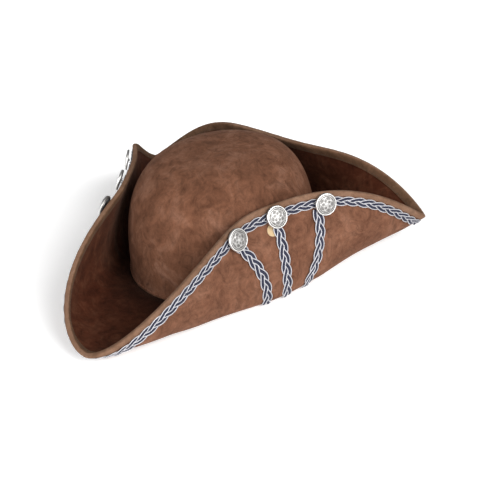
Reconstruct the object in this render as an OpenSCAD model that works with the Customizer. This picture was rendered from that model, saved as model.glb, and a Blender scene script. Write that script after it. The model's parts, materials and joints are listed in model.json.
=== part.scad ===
// Tricorn hat: a moulded crown on a round brim whose rim is cocked up into three flaps.
// Millimetres. +Z is up and the front corner points along -Y, so the wearer's left is +X.
// The origin is on the flat ring around the head opening, below the middle of the crown.

/* [Crown] */
// Half width of the crown at its base, outside
crown_half_w = 91.5; // [88:0.5:95]
// Half length of the crown at its base, outside
crown_half_l = 106; // [102:0.5:110]
// Height of the crown above the surface that the hat stands on
crown_top = 122; // [114:1:132]
// Squareness of the dome seen from the side, where 2 is an ellipse
dome_power = 3.2; // [2.6:0.1:3.8]
// Thickness of the moulded crown shell
crown_wall = 2.6; // [2:0.1:3]
// Thickness of the satin lining
lining_t = 0.6; // [0.4:0.1:0.8]
// Thickness of the sweatband
band_t = 1.4; // [1:0.1:2]
// Height of the sweatband
band_h = 30; // [24:1:36]

/* [Brim layers] */
// Thickness of each suede face
suede_t = 0.9; // [0.7:0.1:1.2]
// Thickness of the stiff core between the two suede faces
core_t = 1.6; // [1.4:0.1:2]
// Width of the flat ring outside the crown, on which the hat stands
flat_w = 10; // [8:1:12]
// How far the underside has risen before the fold starts
fold_rise = 2.5; // [2:0.5:4]
// Width of the binding on the rim's inner face
binding_w = 8; // [7:0.5:9]
// Width of the binding on the rim's outer face, down to the braid
binding_outer_w = 4.8; // [4:0.2:6]
// Thickness of the binding
binding_t = 0.8; // [0.6:0.1:1]
// Diameter of the wire inside the rim
wire_d = 1.4; // [1:0.1:1.4]

/* [Rim outline] */
// Distance of the front corner from the centre
front_tip_r = 226; // [215:1:235]
// Distance of each rear corner from the centre
rear_tip_r = 207; // [200:1:215]
// Distance of the side flaps' tops from the centre
side_top_r = 92; // [90:1:100]
// Distance of the rear flap's top from the centre
rear_top_r = 108; // [104:1:116]
// Height of the rim at the front corner
front_tip_z = 10; // [6:1:16]
// Height of the rim at the rear corners
rear_tip_z = 30; // [22:1:38]
// Height of the side flaps' tops
side_top_z = 94; // [84:1:98]
// Height of the rear flap's top
rear_top_z = 91; // [84:1:98]
// Extra height that hand shaping gives the rear flap's right half and takes from its left
rear_skew = 6; // [0:0.5:6]
// Angle of each rear corner behind the crown's widest line
rear_corner_deg = 34; // [30:1:38]

/* [Fold outline] */
// How far out the fold runs at the front corner
front_fold_r = 223; // [215:1:232]
// How far out the fold runs at each rear corner
rear_fold_r = 178; // [170:1:184]
// How far out the fold runs under the side flaps
side_fold_r = 119; // [114:1:125]
// How far out the fold runs under the rear flap
rear_flap_fold_r = 141; // [134:1:148]

/* [Braid] */
// Width of the plaited braid
braid_w = 9.5; // [8.5:0.5:10]
// Thickness of the plaited braid and of the laces
braid_t = 2; // [1.6:0.1:2.4]
// Width of the laces, which are plaited more loosely
lace_w = 11.4; // [10:0.2:11.6]

/* [Buttons] */
// Diameter of a button
button_d = 22; // [20:0.5:23]
// Height of a button's cap
button_h = 3.4; // [3:0.1:4]
// Gap between the braid and a button's rim
button_gap = 2.4; // [2.4:0.1:2.8]

/* [Hidden] */
// Fineness: columns over each side flap and over the rear flap, dome columns and rows, and rows
// and arc steps from the flat ring to the edge braid
side_cols = 26;
rear_cols = 22;
dome_cols = 48;
dome_rows = 11;
fold_rows = 8;
arc_steps = 24;
// Angular half widths of the corners, in degrees, for radius, height and fold
front_w = [28, 22, 30];
rear_w = [21.5, 12.5, 24];
// Roundness of the corners for radius, height and fold: 2 is a bell, less is more pointed
front_p = [2, 1.6, 2];
rear_p = [1.5, 1.5, 1.5];
// Where the fold's two inner control points lie, as shares of the run and of the height
run_share = 0.7;
lift_share = 0.3;
// Small gap between pieces that are sewn or glued to each other
seam_gap = 0.1;
brim_t = 2 * suede_t + core_t;
// Distances from the rim at which every brim layer has a row of points
wire_room = 3;
braid_edge = binding_outer_w + braid_w;
rim_rows = [braid_edge, binding_w, binding_outer_w, wire_room, 0];
// Buttons, and where each lace starts below its button and ends under the brim, in degrees
side_buttons = [-50, -25, 3];
side_lace_tops = [-50, -25, -1];
side_lace_ends = [-36, -24, -10];
// Where each lace makes its turn: 0 near its top, 1 near its end
lace_late = [0, 0, 1];
lace_rows = 12;
lace_step = 1.8;
lace_end_z = 2.8;
// Height of a lace off the suede: all along, extra near its top, and the share of its length
// over which the extra height ends
lace_gap = 0.3;
lace_lift = 0.7;
lace_lift_ends = [0.24, 0.36];
braid_bevel = 0.8;
// Button: sheet thickness of the cap, lip turned in under the back plate, the plate itself
cap_t = 0.7;
lip = [0.6, 0.3];
plate_t = 0.6;
plate_slack = 0.05;
// Wire loop on the back plate, its clearance over the braid, and the thread staple through it
shank_wire = 0.8;
shank_loop_r = 1.2;
shank_clear = 0.4;
thread_d = 0.8;
thread_span = 4.8;
// How far a button's centre lies below the braid's middle
button_drop = 1.2;
// Felt pad beside the top of the left flap's middle lace: size, drop below its button, turn
pad_r = 6;
pad_t = 0.6;
pad_drop = 11.4;
pad_turn = -2.8;
seam_thread_r = 0.4;
suede = "#85604c";
suede_dark = "#6b4836";
silver = "#c9c6c0";

PLACES = ["front", "mid", "rear"];

// ---- Outline of the brim, as functions of the angle around the crown ----

function turn(a) = (a + 540) % 360 - 180;
function bell(a, w, p) = exp(-pow(abs(turn(a)) / w, p));
function is_rear(a) = a > rear_corner_deg && a < 180 - rear_corner_deg;
// Value k (0 radius, 1 height, 2 fold) between the corners' values and the flaps' own
function blend(a, k, front, rear, flap) =
    let (f = bell(a + 90, front_w[k], front_p[k]))
    let (r = bell(a - rear_corner_deg, rear_w[k], rear_p[k])
        + bell(a - 180 + rear_corner_deg, rear_w[k], rear_p[k]))
    flap + (front - flap) * f + (rear - flap) * r;
function skew(a) =
    let (t = (a - rear_corner_deg) / (180 - 2 * rear_corner_deg))
    2 * rear_skew * sin(180 * t) * (2 * t - 1);
function rim_r(a) = blend(a, 0, front_tip_r, rear_tip_r, is_rear(a) ? rear_top_r : side_top_r);
function rim_z(a) =
    blend(a, 1, front_tip_z, rear_tip_z, is_rear(a) ? rear_top_z + skew(a) : side_top_z);
function fold_r(a) =
    blend(a, 2, front_fold_r, rear_fold_r, is_rear(a) ? rear_flap_fold_r : side_fold_r);
function oval_r(a, half_w, half_l) = 1 / sqrt(pow(cos(a) / half_w, 2) + pow(sin(a) / half_l, 2));
function hole_r(a) = oval_r(a, crown_half_w - crown_wall, crown_half_l - crown_wall);

// ---- Section of the brim's outer face at one angle: flat ring, then a curve up to the rim ----

function controls(a) =
    let (start = oval_r(a, crown_half_w, crown_half_l) + flat_w, fold = fold_r(a))
    [[start, 0], [start + run_share * (fold - start), fold_rise],
        [fold, fold_rise + lift_share * (rim_z(a) - fold_rise)], [rim_r(a), rim_z(a)]];
function curve(c, s) =
    pow(1 - s, 3) * c[0] + 3 * s * pow(1 - s, 2) * c[1] + 3 * s * s * (1 - s) * c[2] + pow(s, 3) * c[3];
// Rows [distance along the curve, radius, height]
function arc_table(a) =
    let (c = controls(a), p = [for (i = [0:arc_steps]) curve(c, i / arc_steps)])
    [for (i = 0, d = 0; i <= arc_steps;
        d = d + (i < arc_steps ? norm(p[i + 1] - p[i]) : 0), i = i + 1) [d, p[i].x, p[i].y]];
function column(table, k) = [for (row = table) [row[0], row[k]]];
function arc_length(table) = table[arc_steps][0];
function at_arc(table, d) = [lookup(d, column(table, 1)), lookup(d, column(table, 2))];
function around(a, rz) = [rz[0] * cos(a), rz[0] * sin(a), rz[1]];
// Point of the outer face at angle a and distance d in from the rim
function face_point(a, d) =
    let (table = arc_table(a)) around(a, at_arc(table, arc_length(table) - d));
// Distance in from the rim at which the outer face has come down to height z
function rim_to_height(a, z) =
    let (table = arc_table(a)) arc_length(table) - lookup(z, [for (row = table) [row[2], row[0]]]);
function unit(v) = v / norm(v);
// Normal of the outer face, pointing to the crown's side
function face_normal(a, d) =
    unit(cross(face_point(a, d - 1) - face_point(a, d + 1), face_point(a + 1, d) - face_point(a - 1, d)));

// ---- Grid that all brim layers share, so that their faces lie exactly on each other ----

// Angles over one flap, closer together at its corners
function flap_angles(start, span, n) =
    [for (i = [0:n - 1]) start + span * (i / n - 0.5 * sin(360 * i / n) / 360)];
side_span = 90 + rear_corner_deg;
COLS = concat(
    flap_angles(-90, side_span, side_cols),
    flap_angles(rear_corner_deg, 180 - 2 * rear_corner_deg, rear_cols),
    flap_angles(180 - rear_corner_deg, side_span, side_cols)
);
N_COLS = len(COLS);
function grid_column(a) =
    let (table = arc_table(a), whole = arc_length(table), folded = whole - braid_edge)
    concat(
        [around(a, [hole_r(a), 0]), around(a, at_arc(table, 0))],
        [for (i = [1:fold_rows - 1]) around(a, at_arc(table, folded * i / fold_rows))],
        [for (d = rim_rows) around(a, at_arc(table, whole - d))]
    );
GRID = [for (a = COLS) grid_column(a)];
N_ROWS = len(GRID[0]);
RIM = N_ROWS - 1;
function next_col(i) = (i + 1) % N_COLS;
function prev_col(i) = (i + N_COLS - 1) % N_COLS;
function grid_normal(i, j) =
    j == 0 ? [0, 0, 1] :
    unit(cross(GRID[i][min(j + 1, RIM)] - GRID[i][j - 1], GRID[next_col(i)][j] - GRID[prev_col(i)][j]));
NORMALS = [for (i = [0:N_COLS - 1]) [for (j = [0:RIM]) grid_normal(i, j)]];
// Point of column i, row j, lifted off the outer face by h (crown side positive)
function lifted(i, j, h) = GRID[i][j] + h * NORMALS[i][j];
// Point between rows j and j + 1, at share t
function between_rows(i, j, t, h) = (1 - t) * lifted(i, j, h) + t * lifted(i, j + 1, h);
// Direction out of the rim at column i
function rim_out(i) = unit(GRID[i][RIM] - GRID[i][RIM - 1]);

// ---- Solids from rings of points ----

// Closed loop: each ring is one cross-section, and the last joins the first. The sides numbered
// from flip[0] to flip[1] are split along the other diagonal, so that they match the face of
// the layer that they lie on.
module loop_solid(rings, flip = [0, -1]) {
    n = len(rings);
    m = len(rings[0]);
    polyhedron([for (ring = rings) each ring], [
        for (i = [0:n - 1], j = [0:m - 1])
            let (a = i * m + j, b = i * m + (j + 1) % m)
            let (c = ((i + 1) % n) * m + j, d = ((i + 1) % n) * m + (j + 1) % m)
            each j >= flip[0] && j <= flip[1] ? [[a, c, b], [b, c, d]] : [[a, d, b], [a, c, d]]
    ]);
}

// Open strip: the same, with a flat fan at each end
module strip_solid(rings) {
    n = len(rings);
    m = len(rings[0]);
    polyhedron([for (ring = rings) each ring], concat(
        [for (i = [0:n - 2], j = [0:m - 1])
            let (a = i * m + j, b = i * m + (j + 1) % m, c = a + m, d = b + m)
            each [[a, d, b], [a, c, d]]],
        [for (j = [1:m - 2]) [0, j, j + 1]],
        [for (j = [1:m - 2]) [(n - 1) * m, (n - 1) * m + j + 1, (n - 1) * m + j]]
    ));
}

// ---- Crown ----

function dome_ring(row, half_w, half_l, base, top) =
    let (b = 90 * row / dome_rows, e = 2 / dome_power)
    let (r = pow(cos(b), e), z = base + (top - base) * pow(sin(b), e))
    [for (i = [0:dome_cols - 1])
        let (a = 360 * i / dome_cols) [half_w * r * cos(a), half_l * r * sin(a), z]];

// Dome shell, open below, with inner and outer skins a wall apart
module dome_shell(half_w, half_l, top, wall) {
    base = brim_t + seam_gap;
    outer = [for (k = [0:dome_rows - 1]) each dome_ring(k, half_w, half_l, base, top)];
    inner = [for (k = [0:dome_rows - 1])
        each dome_ring(k, half_w - wall, half_l - wall, base, top - wall)];
    m = dome_cols;
    o = len(outer);
    polyhedron(concat(outer, inner, [[0, 0, top], [0, 0, top - wall]]), concat(
        [for (k = [0:dome_rows - 2], i = [0:m - 1])
            let (a = k * m + i, b = k * m + (i + 1) % m, c = a + m, d = b + m)
            each [[a, c, d], [a, d, b], [o + a, o + d, o + c], [o + a, o + b, o + d]]],
        [for (i = [0:m - 1])
            let (a = i, b = (i + 1) % m) each [[a, b, o + b], [a, o + b, o + a]]],
        [for (i = [0:m - 1])
            let (a = (dome_rows - 1) * m + i, b = (dome_rows - 1) * m + (i + 1) % m)
            each [[a, 2 * o, b], [o + b, 2 * o + 1, o + a]]]
    ));
}

module crown_shell()
    color(suede) dome_shell(crown_half_w, crown_half_l, crown_top, crown_wall);

module crown_lining() {
    step = crown_wall + seam_gap;
    color("#2a211d") dome_shell(crown_half_w - step, crown_half_l - step, crown_top - step, lining_t);
}

// Oval ring of thread lying in the corner where the crown meets the brim
module crown_seam_thread() {
    z = brim_t + 1.5 * seam_thread_r;
    color("#3a2a20") loop_solid([for (a = [0:5:355])
        let (r = oval_r(a, crown_half_w, crown_half_l) + 1.4 * seam_thread_r)
        [for (k = [0:5]) around(a, [r + seam_thread_r * cos(60 * k), z - seam_thread_r * sin(60 * k)])]]);
}

module sweatband() {
    // clear of the lining, which leans in a little over the band's height
    inset = crown_wall + lining_t + 8 * seam_gap;
    w = crown_half_w - inset;
    l = crown_half_l - inset;
    low = 0.6;
    color("#3b2a22") loop_solid([for (a = [0:7.5:352.5])
        let (far = oval_r(a, w, l), near = oval_r(a, w - band_t, l - band_t))
        [for (p = [[near, low], [near, band_h], [far, band_h], [far, low]]) around(a, p)]]);
}

// ---- Brim ----

// Layer between heights h0 and h1 above the outer face, over rows 0 to last
module brim_layer(h0, h1, last)
    loop_solid([for (i = [0:N_COLS - 1]) concat(
        [for (j = [last:-1:0]) lifted(i, j, h0)],
        [for (j = [0:last]) lifted(i, j, h1)]
    )], flip = [0, last - 1]);

module brim_lower_suede() color(suede) brim_layer(0, suede_t, RIM);

// The core stops short of the rim, to leave room for the wire
module brim_core() color("#d8d2c4") brim_layer(suede_t, suede_t + core_t, RIM - 1);

module brim_upper_suede() color(suede_dark) brim_layer(suede_t + core_t, brim_t, RIM);

module brim_wire() {
    r = wire_d / 2;
    share = r / wire_room;
    color("silver") loop_solid([for (i = [0:N_COLS - 1]) [for (k = [0:5])
        between_rows(i, RIM - 1, 0.5 + share * cos(60 * k), brim_t / 2 - r * sin(60 * k))]]);
}

// Suede strip folded over the rim, with a wide leg inside and a narrow one outside
module edge_binding() {
    top = brim_t + binding_t;
    color("#8d6a52") loop_solid([for (i = [0:N_COLS - 1])
        let (out = binding_t * rim_out(i)) [
            lifted(i, RIM - 2, 0), lifted(i, RIM - 1, 0), lifted(i, RIM, 0),
            lifted(i, RIM, suede_t), lifted(i, RIM, suede_t + core_t), lifted(i, RIM, brim_t),
            lifted(i, RIM - 1, brim_t), lifted(i, RIM - 2, brim_t), lifted(i, RIM - 3, brim_t),
            lifted(i, RIM - 3, top), lifted(i, RIM - 2, top), lifted(i, RIM - 1, top),
            lifted(i, RIM, top),
            lifted(i, RIM, brim_t - binding_t) + out, lifted(i, RIM, binding_t) + out,
            lifted(i, RIM, -binding_t), lifted(i, RIM - 1, -binding_t), lifted(i, RIM - 2, -binding_t)
        ]], flip = [2, 7]);
}

// Point of column i at distance d in from the rim, between the braid's two edges
function braid_point(i, d, h) =
    d > binding_w
        ? between_rows(i, RIM - 4, (braid_edge - d) / (braid_edge - binding_w), h)
        : between_rows(i, RIM - 3, (binding_w - d) / (binding_w - binding_outer_w), h);

// Plaited braid sewn along the binding's lower edge, all the way round
module edge_braid() {
    // the side beside the binding leans away from it a little
    near = binding_outer_w + 2 * seam_gap;
    color(silver) loop_solid([for (i = [0:N_COLS - 1]) [
        braid_point(i, braid_edge, 0), braid_point(i, binding_w, 0), braid_point(i, binding_outer_w, 0),
        braid_point(i, near, -braid_t + braid_bevel), braid_point(i, near + braid_bevel, -braid_t),
        braid_point(i, binding_w, -braid_t), braid_point(i, braid_edge - braid_bevel, -braid_t),
        braid_point(i, braid_edge, -braid_t + braid_bevel)
    ]]);
}

// ---- Laces ----

// Centre line of a lace on the outer face: from the edge braid down, round the fold and under
function lace_angle(top, end, late, u) =
    let (t = 90 * min(1, 1.15 * u)) top + (end - top) * ((1 - late) * sin(t) + late * (1 - cos(t)));
function lace_distance(end, u) =
    let (first = braid_edge + lace_step) first + u * (rim_to_height(end, lace_end_z) - first);
// Height of its underside off the suede
function lace_height(u) = lace_gap + lookup(u, [[lace_lift_ends[0], lace_lift], [lace_lift_ends[1], 0]]);
function lace_ring(top, end, late, u) =
    let (a = lace_angle(top, end, late, u), d = lace_distance(end, u), du = 0.02)
    let (n = -face_normal(a, d))
    let (along = face_point(lace_angle(top, end, late, u + du), lace_distance(end, u + du))
        - face_point(lace_angle(top, end, late, u - du), lace_distance(end, u - du)))
    let (side = unit(cross(n, along)) * lace_w / 2, inset = 1 - 2 * braid_bevel / lace_w)
    let (low = face_point(a, d) + n * lace_height(u), high = low + n * braid_t)
    let (edge = low + n * (braid_t - braid_bevel))
    [low + side, edge + side, high + side * inset, high - side * inset, edge - side, low - side];

module lace(top, end, late)
    color(silver) strip_solid([for (k = [0:lace_rows]) lace_ring(top, end, late, k / lace_rows)]);

// ---- Buttons ----

// Places what is drawn along +Z on the outer face, at angle a and distance d from the rim
module on_face(a, d) {
    p = face_point(a, d);
    n = -face_normal(a, d);
    translate(p) rotate([0, acos(n.z), atan2(n.y, n.x)]) rotate(face_roll(a, d)) children();
}

// Turn about the normal that lines local X up with the rim's direction
function face_roll(a, d) =
    let (n = -face_normal(a, d), t = unit(face_point(a + 1, d) - face_point(a - 1, d)))
    let (y_axis = [-sin(atan2(n.y, n.x)), cos(atan2(n.y, n.x)), 0], x_axis = cross(y_axis, n))
    atan2(t * y_axis, t * x_axis);

button_at = binding_outer_w + braid_w / 2 + button_drop;
button_r = button_d / 2;
cap_low = braid_t + button_gap;
cap_top = cap_low + button_h;
plate_low = cap_low + lip[1] + plate_slack;
shank_z = braid_t + shank_clear + shank_loop_r + shank_wire / 2;
// Outside of the cap from its side wall inwards, as [step in from the edge, step down from the top]
cap_outline = [[0, 1.6], [0.4, 1.2], [1.2, 1.1], [1.8, 1.4], [2.4, 1.2], [5.5, 0.35], [8.8, 0]];
wall_in = 1.2;

// Stamped cap: a raised rim round a low dome, hollow underneath, with a lip that holds the plate
module button_cap(a)
    color(silver) on_face(a, button_at) rotate_extrude($fn = 48) polygon(concat(
        [[button_r - wall_in - lip[0], cap_low], [button_r - 0.2, cap_low], [button_r, cap_low + 0.4]],
        [for (p = cap_outline) [button_r - p[0], cap_top - p[1]]],
        [[0, cap_top], [0, cap_top - cap_t]],
        [for (k = [len(cap_outline) - 1:-1:4])
            [button_r - cap_outline[k][0], cap_top - cap_outline[k][1] - cap_t]],
        [[button_r - wall_in, cap_top - cap_outline[4][1] - cap_t],
            [button_r - wall_in, cap_low + lip[1]], [button_r - wall_in - lip[0], cap_low + lip[1]]]
    ));

// Back plate held in the cap, with the wire loop that the button is sewn on by
module button_shank(a)
    color("#8f8a82") on_face(a, button_at) {
        translate([0, 0, plate_low])
            cylinder(r = button_r - wall_in - plate_slack, h = plate_t, $fn = 48);
        translate([0, 0, shank_z]) rotate([90, 0, 0]) rotate_extrude($fn = 32)
            translate([shank_loop_r, 0]) circle(d = shank_wire, $fn = 16);
    }

// Staple of thread through the shank's eye, down to the braid on both sides
module button_thread(a)
    on_face(a, button_at) {
        low = braid_t + seam_gap;
        for (side = [-1, 1]) translate([0, side * thread_span / 2, low])
            cylinder(d = thread_d, h = shank_z - low, $fn = 16);
        translate([0, 0, shank_z]) rotate([90, 0, 0])
            cylinder(d = thread_d, h = thread_span, center = true, $fn = 16);
    }

// Angles of the six buttons: left flap and its mirror image
function mirrored(a) = 180 - a;
BUTTONS = concat(side_buttons, [for (a = side_buttons) mirrored(a)]);

module button_threads() color("#4a4038") for (a = BUTTONS) button_thread(a);

// Cream felt pad glued under the top of the left flap's middle lace
module lace_pad()
    color("#ead9bd") on_face(side_buttons[1] + pad_turn, button_at + pad_drop)
        translate([0, 0, seam_gap]) cylinder(r = pad_r, h = pad_t, $fn = 32);

crown_shell();
crown_lining();
sweatband();
crown_seam_thread();
brim_lower_suede();
brim_core();
brim_upper_suede();
brim_wire();
edge_binding();
edge_braid();
for (k = [0:2]) {
    lace(side_lace_tops[k], side_lace_ends[k], lace_late[k]);
    lace(mirrored(side_lace_tops[k]), mirrored(side_lace_ends[k]), lace_late[k]);
    button_cap(side_buttons[k]);
    button_cap(mirrored(side_buttons[k]));
    button_shank(side_buttons[k]);
    button_shank(mirrored(side_buttons[k]));
}
button_threads();
lace_pad();
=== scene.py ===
import json
import math
from functools import lru_cache

import bpy
import numpy as np
from mathutils import Matrix, Vector


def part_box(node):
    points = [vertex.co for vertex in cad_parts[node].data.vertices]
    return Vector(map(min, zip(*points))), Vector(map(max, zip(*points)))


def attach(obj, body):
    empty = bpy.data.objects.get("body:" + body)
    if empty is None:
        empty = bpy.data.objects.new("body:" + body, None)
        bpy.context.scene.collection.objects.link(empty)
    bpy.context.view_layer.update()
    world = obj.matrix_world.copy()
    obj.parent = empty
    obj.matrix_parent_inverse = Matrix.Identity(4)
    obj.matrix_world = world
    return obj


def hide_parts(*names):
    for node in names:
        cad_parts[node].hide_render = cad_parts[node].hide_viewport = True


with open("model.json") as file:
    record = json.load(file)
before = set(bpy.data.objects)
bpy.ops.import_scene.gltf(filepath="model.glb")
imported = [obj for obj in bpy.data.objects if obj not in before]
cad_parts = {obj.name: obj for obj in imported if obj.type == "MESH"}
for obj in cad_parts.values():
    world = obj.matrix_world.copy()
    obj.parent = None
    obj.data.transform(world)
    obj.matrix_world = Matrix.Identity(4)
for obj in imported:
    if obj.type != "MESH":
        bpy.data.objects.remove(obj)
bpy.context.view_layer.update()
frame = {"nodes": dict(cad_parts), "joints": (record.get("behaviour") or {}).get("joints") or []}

# Tricorn hat. Lengths are in millimetres until make_mesh() turns them into metres.
MM = 0.001
ROOT = "hat"

# ---- Driving sizes: the same design as the CAD part, with what its nodes' boxes give ----

# gap between pieces that are sewn or glued to each other
SEAM_GAP = 0.1
CROWN_LOW, CROWN_HIGH = (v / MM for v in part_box("crown_shell"))
CROWN_HALF_W = CROWN_HIGH.x
CROWN_HALF_L = CROWN_HIGH.y
CROWN_TOP = CROWN_HIGH.z
BRIM_T = CROWN_LOW.z - SEAM_GAP
SWEATBAND_LOW, SWEATBAND_HIGH = (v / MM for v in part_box("sweatband"))
LINING_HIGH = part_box("crown_lining")[1] / MM
# power of the crown's superellipse, where 2 is an ellipse
DOME_POWER = 3.2
CROWN_WALL = 2.6
LINING_T = 0.6
BAND_T = 1.4
SUEDE_T = 0.9
CORE_T = 1.6
# flat ring outside the crown, and how far the face has risen before the fold starts
FLAT_W = 10
FOLD_RISE = 2.5
BINDING_OUTER_W = 4.8
BRAID_W = 9.5
# distance from the rim to the middle of the braid, and how far below that a button's centre is
BRAID_AT = BINDING_OUTER_W + BRAID_W / 2
BUTTON_DROP = 1.2
# laces: width, height where they end under the brim, gap to the suede, extra lift near the top
LACE_W = 11.4
LACE_END_Z = 2.8
LACE_GAP = 0.3
LACE_LIFT = 0.7
LACE_LIFT_ENDS = (0.24, 0.36)

# angle of each rear corner behind the crown's widest line, in degrees
REAR_CORNER = 34
# the rim's radius, its height and the fold's radius, at the corners and at the flaps' tops
FRONT_TIP = (226, 10, 223)
REAR_TIP = (207, 30, 178)
SIDE_TOP = (92, 94, 119)
REAR_TOP = (108, 91, 141)
# how much higher the rear flap's right half is, and its left half lower
REAR_SKEW = 6
# half widths in degrees and powers of the corners' bells, for the same three values
FRONT_W, FRONT_P = (28, 22, 30), (2, 1.6, 2)
REAR_W, REAR_P = (21.5, 12.5, 24), (1.5, 1.5, 1.5)
# where the section's two inner control points lie, as shares of the run and of the rise
RUN_SHARE = 0.7
LIFT_SHARE = 0.3

# each lace's angle at its top and at its end, and whether it makes its turn near its end
SIDE_LACES = {"front": (-50, -36, False), "mid": (-25, -24, False), "rear": (-1, -10, True)}

# ---- The brim's outer face: polar sections round the crown ----


def wrapped(a):
    """The same angle between -180 and 180 degrees."""
    return (a + 540) % 360 - 180


def bell(a, w, p):
    """1 at angle 0, falling to 1/e at half width w; a power p under 2 makes it more pointed."""
    return math.exp(-((abs(wrapped(a)) / w) ** p))


def corner_blend(a, k, flap):
    """Value k of the rim (0 radius, 1 height, 2 fold radius) between the corners and the flap."""
    front = bell(a + 90, FRONT_W[k], FRONT_P[k])
    rear = bell(a - REAR_CORNER, REAR_W[k], REAR_P[k])
    rear += bell(a - 180 + REAR_CORNER, REAR_W[k], REAR_P[k])
    return flap + (FRONT_TIP[k] - flap) * front + (REAR_TIP[k] - flap) * rear


def rim_values(a):
    """The rim's radius and height and the fold's radius at angle a."""
    rear = REAR_CORNER < a % 360 < 180 - REAR_CORNER
    flap = list(REAR_TOP if rear else SIDE_TOP)
    if rear:
        t = (a % 360 - REAR_CORNER) / (180 - 2 * REAR_CORNER)
        flap[1] += 2 * REAR_SKEW * math.sin(math.pi * t) * (2 * t - 1)
    return [corner_blend(a, k, flap[k]) for k in range(3)]


def oval_r(a, half_w, half_l):
    """Radius of an ellipse at angle a."""
    a = math.radians(a)
    return 1 / math.hypot(math.cos(a) / half_w, math.sin(a) / half_l)


@lru_cache(maxsize=None)
def section(a):
    """Arc length, radius and height along the outer face at angle a, from the flat ring outwards."""
    rim_r, rim_z, fold_r = rim_values(a)
    start = oval_r(a, CROWN_HALF_W, CROWN_HALF_L) + FLAT_W
    s = np.linspace(0, 1, 65)
    weights = ((1 - s) ** 3, 3 * s * (1 - s) ** 2, 3 * s * s * (1 - s), s**3)
    rs = (start, start + RUN_SHARE * (fold_r - start), fold_r, rim_r)
    zs = (0, FOLD_RISE, FOLD_RISE + LIFT_SHARE * (rim_z - FOLD_RISE), rim_z)
    r = sum(w * x for w, x in zip(weights, rs))
    z = sum(w * x for w, x in zip(weights, zs))
    arc = np.concatenate([[0], np.cumsum(np.hypot(np.diff(r), np.diff(z)))])
    return arc, r, z


def face_length(a):
    """Length of the outer face from the flat ring's edge to the rim at angle a."""
    return section(a)[0][-1]


def raw_point(a, d):
    """Point of the outer face at angle a, distance d in from the rim; past the curve it is flat."""
    arc, r, z = section(a)
    along = arc[-1] - np.asarray(d, float)
    rr = np.interp(along, arc, r) + np.minimum(along, 0)
    zz = np.interp(along, arc, z)
    t = math.radians(a)
    return np.stack([rr * math.cos(t), rr * math.sin(t), zz], -1)


def smooth_step(x, low, high):
    """0 below low and 1 above high, with a smooth rise between."""
    t = np.clip((np.asarray(x, float) - low) / (high - low), 0, 1)
    return t * t * (3 - 2 * t)


LACE_ENDS = [end for top, end, late in SIDE_LACES.values()]
LACE_ENDS += [180 - end for end in LACE_ENDS]


def swell(a, d):
    """How far the soft face stands off the plain form: full between the laces, drawn in by them."""
    d = np.asarray(d, float)
    arc, _, z = section(a)
    height = np.interp(arc[-1] - d, arc, z)
    # none near the rim, where the braid is, nor on the ring that the hat stands on
    middle = smooth_step(d, 22, 55) * smooth_step(height, 2, 8)
    nearest_lace = min(abs(wrapped(a - end)) for end in LACE_ENDS)
    pull = math.exp(-((nearest_lace / 4.5) ** 2))
    low_part = smooth_step(d, 45, 75)
    t = math.radians(a)
    waves = 0.45 * math.sin(7 * t + 0.6) + 0.3 * math.sin(11 * t + 2.1)
    ripple = 0.25 * np.sin(d / 9 + 3 * math.sin(5 * t))
    return middle * (waves + ripple + low_part * (0.9 - 2.0 * pull))


def unit(v):
    """Vector or vectors of length 1 along v."""
    return v / np.linalg.norm(v, axis=-1, keepdims=True)


def raw_normal(a, d):
    """Unit normal of the plain outer face, pointing away from the crown's side."""
    d = np.asarray(d, float)
    reach, spread = 0.6, 0.4
    down = raw_point(a, d + reach) - raw_point(a, d - reach)
    around = raw_point(a + spread, d) - raw_point(a - spread, d)
    return unit(np.cross(down, around))


def raw_frame(a, d):
    """Point and unit normal of the plain outer face at one distance d from the rim."""
    d = np.array([float(d)])
    return raw_point(a, d)[0], raw_normal(a, d)[0]


def face(a, d, h=0.0):
    """Point of the visible outer face at (a, d), lifted h outwards (negative goes into the brim)."""
    return raw_point(a, d) + raw_normal(a, d) * (swell(a, d) + h)[..., None]


def face_at(a, d, h=0.0):
    """The same for single numbers."""
    return face(a, np.array([float(d)]), np.array([float(h)]))[0]


# ---- Mesh helpers ----


def make_mesh(name, verts, quads, material, slot, uv=None, relief=None, mats=None, body=ROOT):
    """Object from points in millimetres and quads (a repeated last corner makes a triangle)."""
    mesh = bpy.data.meshes.new(name)
    verts = np.asarray(verts, float) * MM
    quads = np.asarray(quads, int)
    faces = [q[:3] if q[3] == q[2] else q for q in quads.tolist()]
    mesh.from_pydata(verts.tolist(), [], faces)
    mesh.polygons.foreach_set("use_smooth", [True] * len(faces))
    if uv is not None:
        layer = mesh.uv_layers.new(name="UVMap")
        flat = [c for q, face_uv in zip(faces, uv) for c in face_uv[: len(q)]]
        layer.data.foreach_set("uv", np.asarray(flat, float).ravel())
    if relief is not None:
        attribute = mesh.attributes.new("relief", "FLOAT", "POINT")
        attribute.data.foreach_set("value", np.asarray(relief, float))
    materials = material if isinstance(material, (list, tuple)) else [material]
    for m in materials:
        mesh.materials.append(m)
    if mats is not None:
        mesh.polygons.foreach_set("material_index", np.asarray(mats, int))
    mesh.update()
    obj = bpy.data.objects.new(name, mesh)
    bpy.context.scene.collection.objects.link(obj)
    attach(obj, body)
    return obj


def tube_quads(n, m, closed, start=0):
    """Quads of n rings of m points; closed joins the last ring to the first."""
    i, j = np.meshgrid(np.arange(n if closed else n - 1), np.arange(m), indexing="ij")
    i, j = i.ravel(), j.ravel()
    next_i, next_j = (i + 1) % n, (j + 1) % m
    corners = [i * m + j, next_i * m + j, next_i * m + next_j, i * m + next_j]
    return np.stack(corners, -1) + start


def fan_quads(ring, centre, flip=False):
    """Triangles, as quads with a repeated corner, from a ring of indexes to a centre index."""
    ring = list(ring)
    pairs = zip(ring, ring[1:] + ring[:1])
    return [[b, a, centre, centre] if flip else [a, b, centre, centre] for a, b in pairs]


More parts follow.
